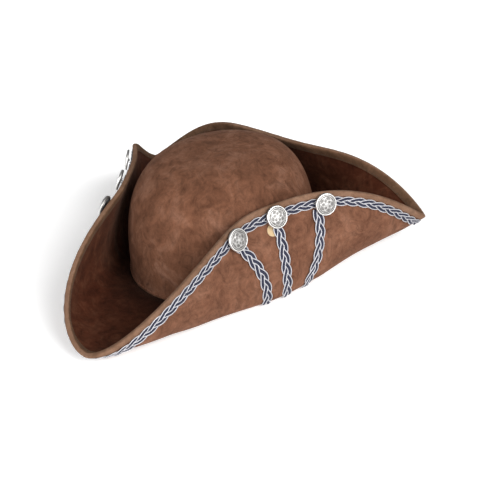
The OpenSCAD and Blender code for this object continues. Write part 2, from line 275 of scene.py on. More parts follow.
def tube_uv(n, m, closed, lengths):
    """(u, v) at the corners of tube_quads' faces: u in millimetres along, v once round."""
    out = []
    for i in range(n if closed else n - 1):
        u0, u1 = lengths[i], lengths[i + 1]
        for j in range(m):
            v0, v1 = j / m, (j + 1) / m
            out.append(((u0, v0), (u1, v0), (u1, v1), (u0, v1)))
    return out


def closed_strip(name, rings, material, slot, **more):
    """Closed loop of cross-sections, each an array of m points."""
    rings = np.asarray(rings)
    n, m = rings.shape[:2]
    return make_mesh(name, rings.reshape(-1, 3), tube_quads(n, m, True), material, slot, **more)


# ---- Materials ----


class Graph:
    """Small helper that adds nodes to a material and links them by socket name."""

    def __init__(self, name):
        self.material = bpy.data.materials.new(name)
        self.material.use_nodes = True
        self.tree = self.material.node_tree
        self.tree.nodes.clear()
        self.out = self.tree.nodes.new("ShaderNodeOutputMaterial")
        self.shader = self.tree.nodes.new("ShaderNodeBsdfPrincipled")
        self.tree.links.new(self.shader.outputs["BSDF"], self.out.inputs["Surface"])
        self.place = self.tree.nodes.new("ShaderNodeTexCoord")

    def add(self, kind, **settings):
        """New node; settings are its own properties."""
        node = self.tree.nodes.new("ShaderNode" + kind)
        for key, value in settings.items():
            setattr(node, key, value)
        return node

    def link(self, source, node, socket):
        self.tree.links.new(source, node.inputs[socket])

    def set(self, **values):
        """Constants of the shader's sockets; an underscore stands for a space."""
        for key, value in values.items():
            self.shader.inputs[key.replace("_", " ")].default_value = value

    def stretched(self, scale):
        """The piece's own coordinates, scaled by another factor on each axis."""
        node = self.add("Mapping")
        node.inputs["Scale"].default_value = scale
        self.link(self.place.outputs["Object"], node, "Vector")
        return node.outputs["Vector"]

    def noise(self, scale, detail=3.0, rough=0.55, distortion=0.0, vector=None):
        node = self.add("TexNoise")
        for key, value in (("Scale", scale), ("Detail", detail), ("Roughness", rough)):
            node.inputs[key].default_value = value
        node.inputs["Distortion"].default_value = distortion
        self.link(vector or self.place.outputs["Object"], node, "Vector")
        return node.outputs["Fac"]

    def ramp(self, source, stops):
        """Colour ramp; each stop is a place from 0 to 1 and a colour or a grey value."""
        node = self.add("ValToRGB")
        ramp = node.color_ramp
        while len(ramp.elements) < len(stops):
            ramp.elements.new(0.5)
        for element, (at, colour) in zip(ramp.elements, stops):
            element.position = at
            value = colour if isinstance(colour, (tuple, list)) else (colour,) * 3
            element.color = (*value[:3], 1)
        self.link(source, node, "Fac")
        return node.outputs["Color"]

    def mix(self, kind, factor, a, b):
        node = self.add("Mix", data_type="RGBA", blend_type=kind)
        for socket, value in (("Factor", factor), (6, a), (7, b)):
            if isinstance(value, bpy.types.NodeSocket):
                self.tree.links.new(value, node.inputs[socket])
            elif socket == "Factor":
                node.inputs[0].default_value = value
            else:
                node.inputs[socket].default_value = (*value, 1)
        return node.outputs[2]

    def maths(self, operation, *values):
        node = self.add("Math", operation=operation)
        for index, value in enumerate(values):
            if isinstance(value, bpy.types.NodeSocket):
                self.tree.links.new(value, node.inputs[index])
            else:
                node.inputs[index].default_value = value
        return node.outputs[0]

    def bump(self, height, distance, strength=1.0, below=None):
        node = self.add("Bump")
        node.inputs["Strength"].default_value = strength
        node.inputs["Distance"].default_value = distance
        self.link(height, node, "Height")
        if below is not None:
            self.link(below, node, "Normal")
        return node.outputs["Normal"]

    def finish(self, colour=None, roughness=None, normal=None, metallic=None):
        for name, source in (
            ("Base Color", colour), ("Roughness", roughness),
            ("Normal", normal), ("Metallic", metallic),
        ):
            if source is not None:
                self.link(source, self.shader, name)
        return self.material


def suede(name, dark, mid, light, nap=1.0, painted_gutter_shade=False):
    """Brushed faux suede: patches where the nap lies another way, brush marks and short fibres.
    With its flag set it is darker where its relief value is low, near the crown's foot: painted shade for
    the gutter."""
    g = Graph(name)
    g.set(Specular_IOR_Level=0.05, Sheen_Weight=0.06, Sheen_Roughness=0.5,
          Sheen_Tint=(0.80, 0.48, 0.34, 1))
    patches = g.noise(30, 5, 0.62, 1.2)
    brushed = g.noise(85, 6, 0.70, 1.6, g.stretched((1.0, 0.8, 0.7)))
    small = g.noise(380, 4, 0.65, 0.6)
    fibres = g.noise(2600, 2, 0.7)
    tone = g.ramp(patches, [(0.32, dark), (0.5, mid), (0.68, light)])
    marks = g.ramp(brushed, [(0.32, 1 - 0.42 * nap), (0.5, 1.0), (0.70, 1 + 0.34 * nap)])
    tone = g.mix("MULTIPLY", 0.9, tone, marks)
    tone = g.mix("MULTIPLY", 0.5, tone, g.ramp(small, [(0.3, 0.78), (0.7, 1.18)]))
    tone = g.mix("MULTIPLY", 0.55, tone, g.ramp(fibres, [(0.25, 0.70), (0.75, 1.25)]))
    if painted_gutter_shade:
        # painted shade in the gutter: the colour darkens towards the crown's foot, down to about a quarter
        gutter_shade_mask = g.add("Attribute", attribute_name="relief").outputs["Fac"]
        shade = g.ramp(gutter_shade_mask, [(0.0, (0.25, 0.17, 0.15)), (1.0, 1.0)])
        tone = g.mix("MULTIPLY", 1.0, tone, shade)
    rough = g.ramp(brushed, [(0.3, 0.97), (0.75, 0.85)])
    normal = g.bump(fibres, 0.00022, 0.75)
    normal = g.bump(small, 0.00030, 0.5, normal)
    normal = g.bump(brushed, 0.0007, 0.35, normal)
    return g.finish(tone, rough, normal)


def twisted_cord(name, dark, light, metallic, rough, turns_mm=0.85, depth=0.00012):
    """Thread whose strands wind round it: stripes from u along and v round the cord."""
    g = Graph(name)
    g.set(Specular_IOR_Level=0.3, Sheen_Weight=0.03, Metallic=metallic)
    split = g.add("SeparateXYZ")
    g.link(g.place.outputs["UV"], split, "Vector")
    along = g.maths("MULTIPLY", split.outputs["X"], 1 / turns_mm)
    phase = g.maths("MULTIPLY", g.maths("ADD", along, split.outputs["Y"]), math.tau)
    wave = g.maths("MULTIPLY_ADD", g.maths("SINE", phase), 0.5, 0.5)
    wear = g.noise(240, 3, 0.6)
    shade = g.mix("MIX", wave, dark, light)
    shade = g.mix("MULTIPLY", 0.6, shade, g.ramp(wear, [(0.3, 0.72), (0.7, 1.12)]))
    roughness = g.ramp(wear, [(0.3, rough + 0.12), (0.7, rough - 0.08)])
    return g.finish(shade, roughness, g.bump(wave, depth, 0.8))


def antique_silver():
    """Stamped metal: dark patina in the hollows, bright wear on what stands up."""
    g = Graph("antique_silver")
    relief = g.add("Attribute", attribute_name="relief").outputs["Fac"]
    grime = g.noise(900, 4, 0.65)
    level = g.maths("ADD", relief, g.maths("MULTIPLY", g.maths("SUBTRACT", grime, 0.5), 0.35))
    colour = g.ramp(level, [
        (0.05, (0.018, 0.016, 0.014)), (0.32, (0.11, 0.105, 0.10)),
        (0.55, (0.36, 0.35, 0.34)), (0.9, (0.74, 0.73, 0.71)),
    ])
    rough = g.ramp(level, [(0.1, 0.70), (0.5, 0.50), (0.9, 0.38)])
    metal = g.ramp(level, [(0.05, 0.55), (0.4, 1.0)])
    scratches = g.noise(5200, 2, 0.6, 0.0, g.stretched((1.0, 0.25, 1.0)))
    return g.finish(colour, rough, g.bump(scratches, 0.00004, 0.5), metal)


def plain_metal(name, dark, light, rough):
    """Dull plated or drawn metal with a fine grain."""
    g = Graph(name)
    g.set(Metallic=1.0)
    drawn = g.noise(1800, 3, 0.6)
    colour = g.mix("MIX", drawn, dark, light)
    roughness = g.ramp(drawn, [(0.3, rough + 0.1), (0.7, rough - 0.05)])
    return g.finish(colour, roughness, g.bump(drawn, 0.00004, 0.4))


def woven(name, dark, light, pitch_mm, rough, sheen):
    """Cloth or board with a plain weave over its own coordinates."""
    g = Graph(name)
    g.set(Sheen_Weight=sheen, Specular_IOR_Level=0.3)
    scale = math.tau / (pitch_mm * MM)
    split = g.add("SeparateXYZ")
    g.link(g.place.outputs["Object"], split, "Vector")
    waves = [g.maths("SINE", g.maths("MULTIPLY", split.outputs[k], scale)) for k in "XYZ"]
    weave = g.maths("ADD", g.maths("MULTIPLY", waves[0], waves[1]), waves[2])
    weave = g.maths("MULTIPLY_ADD", weave, 0.25, 0.5)
    blotch = g.noise(60, 3, 0.6)
    colour = g.mix("MIX", weave, dark, light)
    colour = g.mix("MULTIPLY", 0.5, colour, g.ramp(blotch, [(0.3, 0.8), (0.7, 1.1)]))
    roughness = g.ramp(blotch, [(0.3, rough + 0.08), (0.7, rough - 0.08)])
    return g.finish(colour, roughness, g.bump(weave, 0.00008, 0.5))


def leatherette(name, dark, light):
    """Smooth imitation leather with a pebbled grain."""
    g = Graph(name)
    g.set(Specular_IOR_Level=0.4)
    cells = g.add("TexVoronoi", feature="DISTANCE_TO_EDGE")
    cells.inputs["Scale"].default_value = 700
    g.link(g.place.outputs["Object"], cells, "Vector")
    grain = g.ramp(cells.outputs["Distance"], [(0.0, 0.0), (0.12, 1.0)])
    mottle = g.noise(80, 4, 0.6)
    colour = g.mix("MIX", mottle, dark, light)
    colour = g.mix("MULTIPLY", 0.4, colour, grain)
    roughness = g.ramp(mottle, [(0.3, 0.55), (0.7, 0.42)])
    return g.finish(colour, roughness, g.bump(grain, 0.00012, 0.6))


def felt(name, dark, light):
    """Pressed fibres without a direction."""
    g = Graph(name)
    g.set(Specular_IOR_Level=0.15, Sheen_Weight=0.3)
    fuzz = g.noise(1500, 5, 0.7, 0.4)
    colour = g.mix("MIX", fuzz, dark, light)
    return g.finish(colour, g.ramp(fuzz, [(0.3, 0.98), (0.7, 0.88)]), g.bump(fuzz, 0.0003, 0.7))


MATS = {
    "crown": suede("crown_suede", (0.092, 0.038, 0.021), (0.124, 0.054, 0.031),
                   (0.170, 0.082, 0.052)),
    "outer": suede("brim_outer_suede", (0.095, 0.040, 0.023), (0.126, 0.056, 0.033),
                   (0.162, 0.077, 0.048)),
    # painted shade: the brim's inner face is a darker, redder copy of the outer suede, for the shaded
    # inside of the flaps
    "inner": suede("brim_inner_suede_shaded", (0.034, 0.008, 0.0035), (0.054, 0.015, 0.007),
                   (0.086, 0.031, 0.016), painted_gutter_shade=True),
    "binding": suede("binding_suede", (0.122, 0.066, 0.040), (0.150, 0.084, 0.053),
                     (0.186, 0.110, 0.073), nap=0.6),
    # painted shade: the binding's inner leg is a darker copy of the binding suede, for its shaded side
    "binding_in": suede("binding_inner_suede_shaded", (0.072, 0.037, 0.020), (0.095, 0.050, 0.029),
                        (0.122, 0.069, 0.041), nap=0.7),
    "silver": twisted_cord("silver_cord", (0.10, 0.10, 0.12), (0.80, 0.79, 0.82), 0.3, 0.40),
    "navy": twisted_cord("navy_cord", (0.002, 0.003, 0.009), (0.013, 0.017, 0.048), 0.0, 0.6),
    "button": antique_silver(),
    "shank": plain_metal("shank_metal", (0.20, 0.19, 0.18), (0.45, 0.44, 0.42), 0.4),
    "wire": plain_metal("steel_wire", (0.35, 0.35, 0.35), (0.6, 0.6, 0.6), 0.35),
    "thread": twisted_cord("brown_thread", (0.020, 0.011, 0.007), (0.07, 0.040, 0.026), 0.0, 0.7, 0.5),
    "seam": twisted_cord("seam_thread", (0.10, 0.034, 0.018), (0.26, 0.10, 0.055), 0.0, 0.7, 0.5),
    "core": woven("buckram_board", (0.42, 0.38, 0.30), (0.62, 0.58, 0.48), 1.2, 0.9, 0.0),
    "lining": woven("lining_satin", (0.020, 0.014, 0.011), (0.050, 0.037, 0.030), 0.5, 0.42, 0.1),
    "band": leatherette("band_leatherette", (0.022, 0.012, 0.008), (0.050, 0.028, 0.019)),
    "felt": felt("cream_felt", (0.28, 0.19, 0.10), (0.52, 0.39, 0.23)),
}

# ---- Brim layers ----

BRIM_COLS = 540
BRIM_ROWS = 56
# room that the board leaves for the wire inside the rim
WIRE_ROOM = 3
# how far from the crown the inner face is darkened by painted shade for the gutter
GUTTER_SHADE_W = 50


def brim_angles(n):
    """Angles round the hat, closer together at the three corners."""
    out = []
    side_span, rear_span = 90 + REAR_CORNER, 180 - 2 * REAR_CORNER
    for start, span in ((-90, side_span), (REAR_CORNER, rear_span), (180 - REAR_CORNER, side_span)):
        count = round(n * span / 360)
        for i in range(count):
            share = i / count
            out.append(start + span * (share - 0.35 * math.sin(math.tau * share) / math.tau))
    return out


def brim_layer(name, h0, h1, stop, material, slot, node):
    """One sheet of the brim, from depth h0 to h1 below the visible face, from the head opening to
    the distance stop from the rim."""
    rings, relief = [], []
    opening_step = FLAT_W + CROWN_WALL
    for a in brim_angles(BRIM_COLS):
        length = face_length(a)
        d = np.concatenate([[length + opening_step], np.linspace(length, stop, BRIM_ROWS)])
        outer = face(a, d, np.full(d.shape, -h0))
        inner = face(a, d, np.full(d.shape, -h1))
        rings.append(np.concatenate([outer[::-1], inner]))
        # mask for the painted gutter shade: 0 at the crown's foot, rising to 1 further out
        from_crown = smooth_step(length + FLAT_W - d, 2, GUTTER_SHADE_W)
        relief.append(np.concatenate([from_crown[::-1], from_crown]))
    obj = closed_strip(name, rings, material, slot, relief=np.concatenate(relief))
    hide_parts(node)
    return obj


outer_face = brim_layer("brim_outer_face", 0, SUEDE_T, 0, MATS["outer"], "brim_suede",
                        "brim_lower_suede")
board = brim_layer("brim_board", SUEDE_T, SUEDE_T + CORE_T, WIRE_ROOM, MATS["core"], "core_board",
                   "brim_core")
inner_face = brim_layer("brim_inner_face", SUEDE_T + CORE_T, BRIM_T, 0, MATS["inner"], "brim_suede",
                        "brim_upper_suede")

# ---- Paths that run round the rim at a set distance from it ----


def rim_path(d, step, fine=2880):
    """Angles spaced evenly along the closed line at distance d from the rim, and its length."""
    angles = np.linspace(-90, 270, fine + 1)
    points = np.array([face_at(a, d) for a in angles])
    lengths = np.concatenate([[0], np.cumsum(np.linalg.norm(np.diff(points, axis=0), axis=1))])
    n = max(8, round(lengths[-1] / step))
    wanted = np.linspace(0, lengths[-1], n, endpoint=False)
    return np.interp(wanted, lengths, angles), lengths[-1]


def even_step(d, step):
    """About the same step, but one that divides the line at distance d from the rim evenly."""
    length = rim_path(d, 5, 720)[1]
    return length / round(length / step)


# ---- Binding round the rim ----

STITCH_PITCH = 3.4
STITCH_AT = 6.5
# faces of binding_section() that lie on the rim's inner side, from the cap's last one; they take the
# darker copy of the binding suede, which is painted shade
BINDING_INNER_FACES = range(11, 21)


def binding_section(dimple):
    """(distance in from the rim, height above the outer face) round the binding's cross-section."""
    top = -BRIM_T
    outer = [(BINDING_OUTER_W, 0.0), (BINDING_OUTER_W, 0.55), (4.2, 0.72), (3.4, 0.80),
             (2.4, 0.86), (1.4, 0.89), (0.6, 0.90)]
    leg = [(8.2, 0.0), (8.4, 0.35), (8.0, 0.78), (7.2, 0.72), (STITCH_AT, 0.66 - dimple),
           (5.8, 0.74), (4.2, 0.82), (2.4, 0.88), (0.8, 0.90)]
    inner = [(d, top - h) for d, h in reversed(leg)]
    mid = -BRIM_T / 2
    half = BRIM_T / 2 + 0.88
    cap = [(-1.15 * math.cos(t), mid + half * math.sin(t))
           for t in np.radians([62, 36, 12, -12, -36, -62])]
    hidden = [(0.0, top), (0.0, 0.0)]
    return outer + cap + inner + hidden


def make_binding():
    """Suede strip folded over the rim, a little wavy and drawn in by its stitches."""
    angles, length = rim_path(0, 0.9)
    stitches = round(length / STITCH_PITCH)
    rings = []
    for i, a in enumerate(angles):
        s = i / len(angles)
        dimple = 0.26 * max(0, math.cos(math.tau * stitches * s)) ** 3
        wave = 0.10 * math.sin(math.tau * 61 * s) + 0.07 * math.sin(math.tau * 97 * s + 1)
        edge = face(a, np.array([0.0, 1.0]), np.zeros(2))
        out = unit(edge[0] - edge[1])
        ring = []
        for d, h in binding_section(dimple):
            lift = h + (wave * 0.5 if h > 0.1 else 0) - (wave * 0.5 if h < -BRIM_T - 0.1 else 0)
            ring.append(face_at(a, max(d, 0.0), lift) + out * max(-d, 0.0))
        rings.append(ring)
    which = [int(j in BINDING_INNER_FACES) for j in range(len(rings[0]))] * len(rings)
    obj = closed_strip("edge_binding_strip", rings, [MATS["binding"], MATS["binding_in"]],
                       "binding_suede", mats=which)
    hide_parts("edge_binding")


def capsules(name, ends, radius, material, slot, sides=6):
    """One mesh of short round-ended stitches; each has two end points and the way that it bows."""
    verts, quads = [], []
    # place along the stitch, and share of the full radius there
    profile = [(0.0, 0.25), (0.12, 0.8), (0.5, 1.0), (0.88, 0.8), (1.0, 0.25)]
    for p, q, up in ends:
        axis = unit(q - p)
        side = unit(np.cross(axis, up))
        start = len(verts)
        for t, k in profile:
            centre = p + (q - p) * t + up * 0.35 * radius * math.sin(math.pi * t)
            for j in range(sides):
                c = math.tau * j / sides
                verts.append(centre + k * radius * (math.cos(c) * side + math.sin(c) * up))
        quads.extend(tube_quads(len(profile), sides, False, start).tolist())
        last = start + (len(profile) - 1) * sides
        verts.extend([p, q])
        quads.extend(fan_quads(range(start, start + sides), len(verts) - 2))
        quads.extend(fan_quads(range(last, last + sides), len(verts) - 1, True))
    return make_mesh(name, verts, quads, material, slot)


def make_binding_stitches():
    """The row of stitches inside the rim, in the binding's dimples."""
    angles, _ = rim_path(STITCH_AT, even_step(STITCH_AT, STITCH_PITCH))
    half = 0.36 * STITCH_PITCH
    depth = -BRIM_T - 0.60
    ends = []
    for a in angles:
        p = face_at(a, STITCH_AT, depth)
        along = unit(face_at(a + 0.2, STITCH_AT, depth) - p)
        _, out = raw_frame(a, STITCH_AT)
        ends.append((p - along * half, p + along * half, -out))
    capsules("binding_stitches", ends, 0.28, MATS["thread"], "thread")


make_binding()
make_binding_stitches()

# ---- Wire inside the rim ----

WIRE_AT, WIRE_R = 1.5, 0.7


def make_wire():
    """Round wire in the middle of the brim's thickness, all along the rim."""
    angles, _ = rim_path(WIRE_AT, 2.5)
    rings = []
    for a in angles:
        ring = [face_at(a, WIRE_AT + WIRE_R * math.cos(t), -BRIM_T / 2 + WIRE_R * math.sin(t))
                for t in np.linspace(0, math.tau, 8, endpoint=False)]
        rings.append(ring)
    obj = closed_strip("rim_wire", rings, MATS["wire"], "steel_wire")
    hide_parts("brim_wire")


make_wire()

# ---- Plaited braid: three strands, each a navy cord between two silver ones ----

# length in which a strand swings once to both sides and back
PLAIT_LENGTH = 38.0
# cords of a strand: offset across it, half width, half thickness, and which of the two yarns
CORDS = ((-1.50, 0.43, 0.50, 0), (0.0, 1.12, 0.56, 1), (1.50, 0.43, 0.50, 0))
CORD_SIDES = 8
# braid width that those sizes are for; wider ones have somewhat thicker strands
CORDS_FOR_W = 8.5
# height of a strand's middle over the face, and how far it goes up and down to pass the others
STRAND_RISE = 0.46
STRAND_MIDDLE = 0.50 + STRAND_RISE


def plait(name, centres, tangents, normals, step, width, period, closed, node, phase=0.0):
    """Three-strand flat plait along a path; centres are on the face it lies on."""
    centres, tangents, normals = (np.asarray(x) for x in (centres, tangents, normals))
    sides = unit(np.cross(normals, tangents))
    n = len(centres)
    share = (width / CORDS_FOR_W) ** 0.8
    strand_half_w = share * (CORDS[0][1] - CORDS[0][0])
    swing = width / 2 - strand_half_w
    verts, quads, uvs, mats = [], [], [], []
    lengths = np.arange(n + 1) * step
    for strand in range(3):
        angle = math.tau * (lengths[:n] / period) + math.tau * strand / 3 + phase
        across = swing * np.sin(angle)
        slope = swing * np.cos(angle) * math.tau / period
        height = STRAND_MIDDLE + STRAND_RISE * np.sin(2 * angle)
        lean = np.arctan(slope)
        lateral = sides * np.cos(lean)[:, None] - tangents * np.sin(lean)[:, None]
        base = centres + sides * across[:, None] + normals * height[:, None]
        for offset, half_w, half_t, which in CORDS:
            offset, half_w = offset * share, half_w * share
            start = sum(len(v) for v in verts)
            ring = []
            for j in range(CORD_SIDES):
                c = math.tau * j / CORD_SIDES
                ring.append(base + lateral * (offset + half_w * math.cos(c))
                            + normals * (half_t * math.sin(c)))
            verts.append(np.stack(ring, 1).reshape(-1, 3))
            part = tube_quads(n, CORD_SIDES, closed, start).tolist()
            uv = tube_uv(n, CORD_SIDES, closed, lengths)
            for end, flip in () if closed else ((0, False), (n - 1, True)):
                first = start + end * CORD_SIDES
                for j in range(first + 1, first + CORD_SIDES - 1):
                    corners = [j + 1, j, first] if flip else [first, j, j + 1]
                    part.append(corners + corners[2:])
                    uv.append(((lengths[end], 0.0),) * 4)
            quads.extend(part)
            uvs.extend(uv)
            mats.extend([which] * len(part))
    obj = make_mesh(name, np.concatenate(verts), quads, [MATS["silver"], MATS["navy"]], "braid",
                    uv=uvs, mats=mats)
    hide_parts(node)


def rim_braid():
    """Braid below the binding, one length all round."""
    d = BRAID_AT + SEAM_GAP
    angles, length = rim_path(d, 0.9)
    n = len(angles)
    centres = np.array([face_at(a, d) for a in angles])
    normals = np.array([raw_frame(a, d)[1] for a in angles])
    tangents = unit(np.roll(centres, -1, 0) - np.roll(centres, 1, 0))
    period = length / round(length / PLAIT_LENGTH)
    plait("rim_plait", centres, tangents, normals, length / n, BRAID_W, period, True, "edge_braid")


def rim_to_height(a, z):
    """Distance in from the rim at which the face comes down to height z."""
    arc, _, zs = section(a)
    return arc[-1] - np.interp(z, zs, arc)


def lace(name, top, end, late, node, phase):
    """Lace from under its button down the flap, round the fold and in under the brim."""
    first = BINDING_OUTER_W + BRAID_W + 0.8
    last = rim_to_height(end, LACE_END_Z)
    # share of the way down, and the angle there
    u = np.linspace(0, 1, 400)
    t = np.minimum(1, 1.15 * u) * math.pi / 2
    angles = top + (end - top) * ((1 - np.cos(t)) if late else np.sin(t))
    gaps = LACE_GAP + LACE_LIFT * (1 - smooth_step(u, *LACE_LIFT_ENDS))
    path = np.array([face_at(a, first + s * (last - first), g) for a, s, g in zip(angles, u, gaps)])
    # the same path again in even steps
    lengths = np.concatenate([[0], np.cumsum(np.linalg.norm(np.diff(path, axis=0), axis=1))])
    step = lengths[-1] / round(lengths[-1] / 0.8)
    wanted = np.arange(round(lengths[-1] / step) + 1) * step
    where = np.interp(wanted, lengths, u)
    centres = np.stack([np.interp(wanted, lengths, path[:, k]) for k in range(3)], -1)
    at = np.interp(where, u, angles)
    normals = np.array([raw_frame(a, first + s * (last - first))[1] for a, s in zip(at, where)])
    tangents = unit(np.gradient(centres, axis=0))
    plait(name, centres, tangents, normals, step, LACE_W, PLAIT_LENGTH, False, node, phase)


rim_braid()
# each lace's plait starts at its own point of the swing, which hides its cut ends under the button
for phase, (place, (top, end, late)) in zip((0.0, 1.3, 1.6), SIDE_LACES.items()):
    lace(f"left_plait_{place}", top, end, late, f"left_lace_{place}", phase)
    lace(f"right_plait_{place}", 180 - top, 180 - end, late, f"right_lace_{place}", phase + 2)

# ---- Crown, lining and sweatband ----

# how far the crown's foot stands out where it meets the brim, and the height in which that fades
FOOT_FLARE = 0.9
FOOT_H = 3.5


def dome_grid(half_w, half_l, base, top, cols, rows, dents=0.0, flare=0.0, pleats=0.0):
    """Points of a dome, ring by ring from its base, without its top point."""
    rings = []
    for i in range(rows):
        phi = math.pi / 2 * i / rows
        rho = (math.cos(phi) ** DOME_POWER + math.sin(phi) ** DOME_POWER) ** (-1 / DOME_POWER)
        r, z = rho * math.cos(phi), base + (top - base) * rho * math.sin(phi)
        ring = []
        for j in range(cols):
            t = math.tau * j / cols
            bulge = dents * (math.sin(3 * t + 4 * phi) + 0.6 * math.sin(5 * t - 3 * phi + 1.0)
                             + 0.5 * math.sin(2 * t + 7 * phi))
            bulge *= math.sin(2 * phi) if phi < math.pi / 4 else 1.0
            bulge += flare * math.exp(-((z - base) / FOOT_H) ** 2)
            bulge += pleats * math.cos(36 * t) * math.exp(-phi * 2.2)
            # outwards near the base, upwards near the top
            fade = math.cos(phi) ** 0.5
            ring.append(((half_w * r + bulge * fade) * math.cos(t),
                         (half_l * r + bulge * fade) * math.sin(t), z + 0.5 * bulge * (1 - fade)))
        rings.append(ring)
    return np.array(rings)


def dome(name, half_w, half_l, base, top, wall, material, slot, node, cols, rows, **shape):
    """Shell of a dome with an open base; shape holds dome_grid()'s dents, flare and pleats."""
    outer = dome_grid(half_w, half_l, base, top, cols, rows, **shape)
    shape["flare"] = 0.0
    inner = dome_grid(half_w - wall, half_l - wall, base, top - wall, cols, rows, **shape)
    tops = [[0, 0, top], [0, 0, top - wall]]
    verts = np.concatenate([outer.reshape(-1, 3), inner.reshape(-1, 3), tops])
    size = rows * cols
    quads = []
    for k in range(rows - 1):
        for i in range(cols):
            a, b = k * cols + i, k * cols + (i + 1) % cols
            quads.append([a, b, b + cols, a + cols])
            quads.append([size + b, size + a, size + a + cols, size + b + cols])
    for a in range(cols):
        b = (a + 1) % cols
        quads.append([b, a, size + a, size + b])
    last = size - cols
    quads += fan_quads(range(last, size), 2 * size)
    quads += fan_quads(range(size + last, 2 * size), 2 * size + 1, True)
    obj = make_mesh(name, verts, quads, material, slot)
    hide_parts(node)
    return obj


crown = dome("crown", CROWN_HALF_W, CROWN_HALF_L, CROWN_LOW.z, CROWN_TOP, CROWN_WALL,
             MATS["crown"], "crown_suede", "crown_shell", 240, 90, dents=0.32, flare=FOOT_FLARE)
lining = dome("satin_lining", LINING_HIGH.x, LINING_HIGH.y, CROWN_LOW.z, LINING_HIGH.z, LINING_T,
              MATS["lining"], "lining_satin", "crown_lining", 288, 48, pleats=0.10)


def crown_point(t, z):
    """Point on the crown's outside at angle parameter t (radians) and height z."""
    share = (z - CROWN_LOW.z) / (CROWN_TOP - CROWN_LOW.z)
    r = (1 - share**DOME_POWER) ** (1 / DOME_POWER)
    flare = FOOT_FLARE * math.exp(-((z - CROWN_LOW.z) / FOOT_H) ** 2)
    return np.array([(CROWN_HALF_W * r + flare) * math.cos(t),
                     (CROWN_HALF_L * r + flare) * math.sin(t), z])


def crown_stitches():
    """Row of stitches that holds the crown to the brim."""
    pitch, height = 4.6, CROWN_LOW.z + 2.9
    n = round(math.pi * (CROWN_HALF_W + CROWN_HALF_L) / pitch)
    half = math.tau / n * 0.24
    ends = []
    for i in range(n):
        t = math.tau * i / n
        p, q = crown_point(t - half, height), crown_point(t + half, height)
        out = unit(np.array([math.cos(t) / CROWN_HALF_W, math.sin(t) / CROWN_HALF_L, 0.0]))
        ends.append((p, q, out))
    obj = capsules("crown_stitch_row", ends, 0.55, MATS["seam"], "thread")
    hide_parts("crown_seam_thread")


def sweatband():
    """Leatherette band inside the opening: rounded edges, a slight belly and stitched top."""
    half_w, half_l = SWEATBAND_HIGH.x, SWEATBAND_HIGH.y
    low, high = SWEATBAND_LOW.z, SWEATBAND_HIGH.z
    edge, belly = 0.5, 0.5
    # (distance inwards as a negative number, height) round the band's cross-section
    profile = []
    for s in np.linspace(0, 1, 14):
        profile.append((-BAND_T - belly * math.sin(math.pi * s), low + edge + (high - low - 2 * edge) * s))
    profile += [(-0.9 * BAND_T, high), (-0.3 * BAND_T, high), (0, high - edge)]
    profile += [(0, low + (high - low) * s) for s in (0.75, 0.5, 0.25)]
    profile += [(0, low + edge), (-0.3 * BAND_T, low), (-0.9 * BAND_T, low)]
    rings = []
    cols = 300
    for a in np.arange(cols) * 360 / cols:
        r = oval_r(a, half_w, half_l)
        c, s = math.cos(math.radians(a)), math.sin(math.radians(a))
        rings.append([((r + p[0]) * c, (r + p[0]) * s, p[1]) for p in reversed(profile)])
    obj = closed_strip("sweatband_strip", rings, MATS["band"], "sweatband")
    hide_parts("sweatband")
    ends = []
    stitches, half, inset = 150, 0.45, 2.2
    for row in (low + inset, high - inset):
        depth = BAND_T + belly * math.sin(math.pi * (row - low) / (high - low))
        for a in np.arange(stitches) * 360 / stitches:
            points = []
            for at in (a - half, a + half):
                r = oval_r(at, half_w, half_l) - depth
                points.append(np.array([r * math.cos(math.radians(at)),
                                        r * math.sin(math.radians(at)), row]))
            inwards = -unit(np.array([math.cos(math.radians(a)), math.sin(math.radians(a)), 0.0]))
            ends.append((points[0], points[1], inwards))
    capsules("sweatband_stitches", ends, 0.26, MATS["thread"], "thread")


crown_stitches()
sweatband()

# ---- Buttons ----

BUTTON_R = 11.0
RELIEF_COLS = 144
# rings of points over the stamped face, and over the raised rim, where they are closer
FACE_RADII = np.linspace(0.35, 9.0, 38)
RIM_RADII = np.linspace(9.15, 10.95, 14)


def button_relief(rho, alpha, seed):
    """Height in millimetres of a worn interlaced rosette inside a ring of beads, and how worn
    bright it is there, from 0 to 1."""
    r = rho / BUTTON_R
    field = smooth_step(r, 0.16, 0.26) * (1 - smooth_step(r, 0.66, 0.72))
    bands = math.exp(-((math.sin(2.5 * alpha + 7 * r) / 0.42) ** 2))
    bands += math.exp(-((math.sin(2.5 * alpha - 7 * r + 0.4 * seed) / 0.42) ** 2))
    boss = math.exp(-((r / 0.15) ** 2))
    beads = (0.5 + 0.5 * math.cos(32 * alpha)) * math.exp(-(((r - 0.77) / 0.03) ** 2))
    lines = math.exp(-(((r - 0.715) / 0.018) ** 2)) + math.exp(-(((r - 0.845) / 0.022) ** 2))
    wear = 0.78 + 0.22 * math.sin(3 * alpha + seed) * math.sin(6 * r + 2 * seed)
    height = wear * (0.15 * field * bands + 0.14 * beads) + 0.20 * boss - 0.10 * lines
    rim = smooth_step(r, 0.86, 0.90)
    level = 0.50 + 0.26 * wear * field * (bands - 0.55) + 0.30 * beads + 0.3 * boss - 0.42 * lines
    return height, level * (1 - rim) + 0.92 * rim


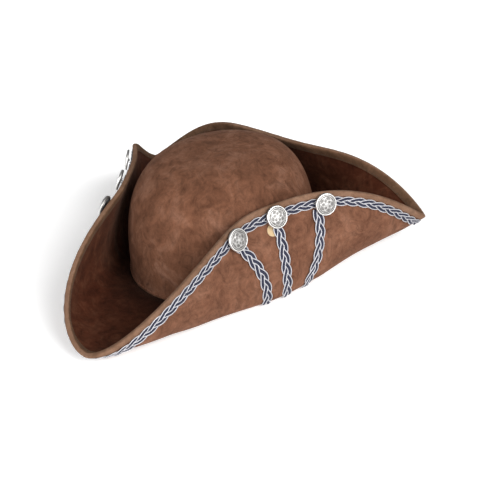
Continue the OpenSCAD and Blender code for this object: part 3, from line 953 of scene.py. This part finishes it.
def button_cap(name, joint, seed):
    """Stamped cap round the joint's axis: relief on a low dome, polished rim and side wall."""
    axis = unit(np.array(joint["axis"], float))
    base = np.array(joint["pos_m"], float) / MM
    node = frame["nodes"][f"{name}_cap"]
    along = (np.array([v.co for v in node.data.vertices]) / MM - base) @ axis
    low, top = along.min(), along.max()
    across = unit(np.cross(axis, [0.0, 0.0, 1.0]))
    upward = np.cross(across, axis)

    def at(rho, alpha, height):
        return base + axis * height + rho * (across * math.cos(alpha) + upward * math.sin(alpha))

    radii = np.concatenate([FACE_RADII, RIM_RADII])
    verts, level = [], []
    for rho in radii:
        r = rho / BUTTON_R
        dome_h = -1.15 * r * r
        rim_h = 0.40 * smooth_step(r, 0.86, 0.90) - 0.9 * smooth_step(r, 0.955, 1.0)
        for j in range(RELIEF_COLS):
            alpha = math.tau * j / RELIEF_COLS
            bump, shade = button_relief(rho, alpha + 0.3 * seed, seed)
            verts.append(at(rho, alpha, top - 0.32 + dome_h + rim_h + bump))
            level.append(shade)
    side = [(BUTTON_R, low + 1.2), (BUTTON_R, low + 0.5), (10.75, low), (9.5, low), (9.3, low + 0.3)]
    for rho, height in side:
        for j in range(RELIEF_COLS):
            verts.append(at(rho, math.tau * j / RELIEF_COLS, height))
            level.append(0.62)
    count = len(radii) + len(side)
    verts.append(at(0.0, 0.0, top - 0.10))
    level.append(0.9)
    verts.append(at(0.0, 0.0, low + 0.35))
    level.append(0.3)
    quads = tube_quads(count, RELIEF_COLS, False).tolist()
    quads += fan_quads(range(RELIEF_COLS), len(verts) - 2, True)
    last = (count - 1) * RELIEF_COLS
    quads += fan_quads(range(last, last + RELIEF_COLS), len(verts) - 1)
    obj = make_mesh(f"{name}_stamped", verts, quads, MATS["button"], "button_silver",
                    relief=level, body=name)
    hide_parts(f"{name}_cap")
    shank = frame["nodes"][f"{name}_shank"].data
    shank.materials.clear()
    shank.materials.append(MATS["shank"])


for number, joint in enumerate(frame["joints"], 1):
    button_cap(joint["child"], joint, number)


def sewing_threads():
    """Four turns of thread through each shank's loop, down to the braid on both sides."""
    verts, quads, uvs = [], [], []
    sides, radius = 6, 0.14
    low, bend = 2.0, 3.2
    for joint in frame["joints"]:
        axis = unit(np.array(joint["axis"], float))
        base = np.array(joint["pos_m"], float) / MM
        a = math.degrees(math.atan2(base[1], base[0]))
        d = np.array([BRAID_AT + BUTTON_DROP])
        rim_way = (raw_point(a + 1, d) - raw_point(a - 1, d))[0]
        across = unit(rim_way - axis * (rim_way @ axis))
        upward = np.cross(across, axis)
        for number, shift in enumerate((-0.22, -0.07, 0.08, 0.23)):
            reach, top = 2.3 + 0.06 * number, 3.96 + 0.08 * (number % 2)
            half = [(1, low), (1, bend), (0.93, top - 0.25), (0.7, top)]
            path = [(-share * reach, h) for share, h in half] + [(0, top)]
            path += [(share * reach, h) for share, h in reversed(half)]
            start = len(verts)
            points = [base + axis * h + upward * y + across * shift for y, h in path]
            for i, p in enumerate(points):
                t = unit(points[min(i + 1, len(points) - 1)] - points[max(i - 1, 0)])
                side = unit(np.cross(t, across))
                for j in range(sides):
                    c = math.tau * j / sides
                    verts.append(p + radius * (math.cos(c) * across + math.sin(c) * side))
            n = len(points)
            quads.extend(tube_quads(n, sides, False, start).tolist())
            uvs.extend(tube_uv(n, sides, False, np.linspace(0, 9, n + 1)))
    obj = make_mesh("button_sewing_threads", verts, quads, MATS["thread"], "thread", uv=uvs)
    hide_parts("button_threads")


sewing_threads()

# ---- Pad beside the left flap's middle lace: radius, drop below the button, turn in degrees ----

PAD_R = 6.0
PAD_DROP = 11.4
PAD_TURN = -2.8


def lace_pad():
    """Cream felt disc under the top of the left flap's middle lace."""
    centre, n = raw_frame(SIDE_LACES["mid"][0] + PAD_TURN, BRAID_AT + BUTTON_DROP + PAD_DROP)
    x = unit(np.cross(n, [0, 0, 1.0]))
    y = np.cross(n, x)
    # share of the radius, and height over the face
    profile = [(0.94, 0.05), (1.0, 0.2), (1.0, 0.45), (0.96, 0.62), (0.8, 0.70), (0.5, 0.72),
               (0.2, 0.72)]
    cols = 64
    verts = [centre + n * profile[0][1]]
    for share, height in profile:
        for j in range(cols):
            t = math.tau * j / cols
            r = PAD_R * share * (1 + 0.008 * math.sin(9 * t) + 0.006 * math.sin(23 * t + 1))
            verts.append(centre + n * height + r * (x * math.cos(t) + y * math.sin(t)))
    verts.append(centre + n * profile[-1][1])
    quads = tube_quads(len(profile), cols, False, 1).tolist()
    quads += fan_quads(range(1, 1 + cols), 0)
    last = 1 + (len(profile) - 1) * cols
    quads += fan_quads(range(last, last + cols), len(verts) - 1, True)
    obj = make_mesh("lace_pad_felt", verts, quads, MATS["felt"], "felt")
    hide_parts("lace_pad")


lace_pad()

# ---- Floor, light and camera ----


def make_floor():
    """Pale matt floor in metres, lit a little from itself, which keeps the hat's shadow faint."""
    size, steps, drop = 12.0, 24, 0.0004
    grid = np.linspace(-size, size, steps + 1)
    mesh = bpy.data.meshes.new("floor")
    verts = [(x, y, -drop) for y in grid for x in grid]
    n = steps + 1
    faces = [(j * n + i, j * n + i + 1, (j + 1) * n + i + 1, (j + 1) * n + i)
             for j in range(steps) for i in range(steps)]
    mesh.from_pydata(verts, [], faces)
    g = Graph("floor_paint")
    g.set(Specular_IOR_Level=0.0, Emission_Strength=0.3)
    tone = g.ramp(g.noise(4, 2, 0.5), [(0.3, 0.93), (0.7, 0.95)])
    g.link(tone, g.shader, "Emission Color")
    mesh.materials.append(g.finish(tone, g.ramp(g.noise(9, 2, 0.5), [(0.3, 0.9), (0.7, 0.95)])))
    obj = bpy.data.objects.new("floor", mesh)
    bpy.context.scene.collection.objects.link(obj)


def direction(azimuth, elevation):
    """Unit vector from the hat, for angles in radians."""
    level = math.cos(elevation)
    return Vector((math.sin(azimuth) * level, -math.cos(azimuth) * level, math.sin(elevation)))


def soft_light(name, azimuth, elevation, softness, strength):
    """Broad, far light; azimuth 0 is in front of the hat and 90 on the wearer's left."""
    data = bpy.data.lights.new(name, "SUN")
    data.angle = math.radians(softness)
    data.energy = strength
    obj = bpy.data.objects.new(name, data)
    away = direction(math.radians(azimuth), math.radians(elevation))
    obj.location = away * 2
    obj.rotation_euler = (-away).to_track_quat("-Z", "Y").to_euler()
    bpy.context.scene.collection.objects.link(obj)


def make_world(strength):
    """Even white light from all sides."""
    world = bpy.data.worlds.new("studio")
    world.use_nodes = True
    background = world.node_tree.nodes["Background"]
    background.inputs["Color"].default_value = (1, 1, 1, 1)
    background.inputs["Strength"].default_value = strength
    bpy.context.scene.world = world


CAMERA_AZIMUTH = math.radians(35.21)
CAMERA_ELEVATION = math.radians(27.01)
CAMERA_ROLL = math.radians(4.22)
CAMERA_DISTANCE = 1.141
CAMERA_TARGET = Vector((0, 0, 0.05))
CAMERA_LENS = 83.9
CAMERA_SHIFT = (0.038, -0.059)


def make_camera():
    """Camera that looks past the hat's middle, from where the photo was taken."""
    data = bpy.data.cameras.new("camera")
    data.lens = CAMERA_LENS
    data.sensor_width = 36
    data.shift_x, data.shift_y = CAMERA_SHIFT
    obj = bpy.data.objects.new("camera", data)
    away = direction(CAMERA_AZIMUTH, CAMERA_ELEVATION)
    place = Matrix.Translation(CAMERA_TARGET + away * CAMERA_DISTANCE)
    look = (-away).to_track_quat("-Z", "Y").to_matrix()
    roll = Matrix.Rotation(-CAMERA_ROLL, 3, Vector((0, 0, 1)))
    obj.matrix_world = place @ (look @ roll).to_4x4()
    bpy.context.scene.collection.objects.link(obj)
    bpy.context.scene.camera = obj


make_floor()
make_world(0.18)
soft_light("key", 74, 33, 30, 2.9)
soft_light("fill", -4, 22, 50, 2.35)
soft_light("low", 50, 14, 35, 1.15)
soft_light("side", 108, 10, 40, 0.5)
make_camera()
bpy.context.scene.view_settings.view_transform = "Standard"
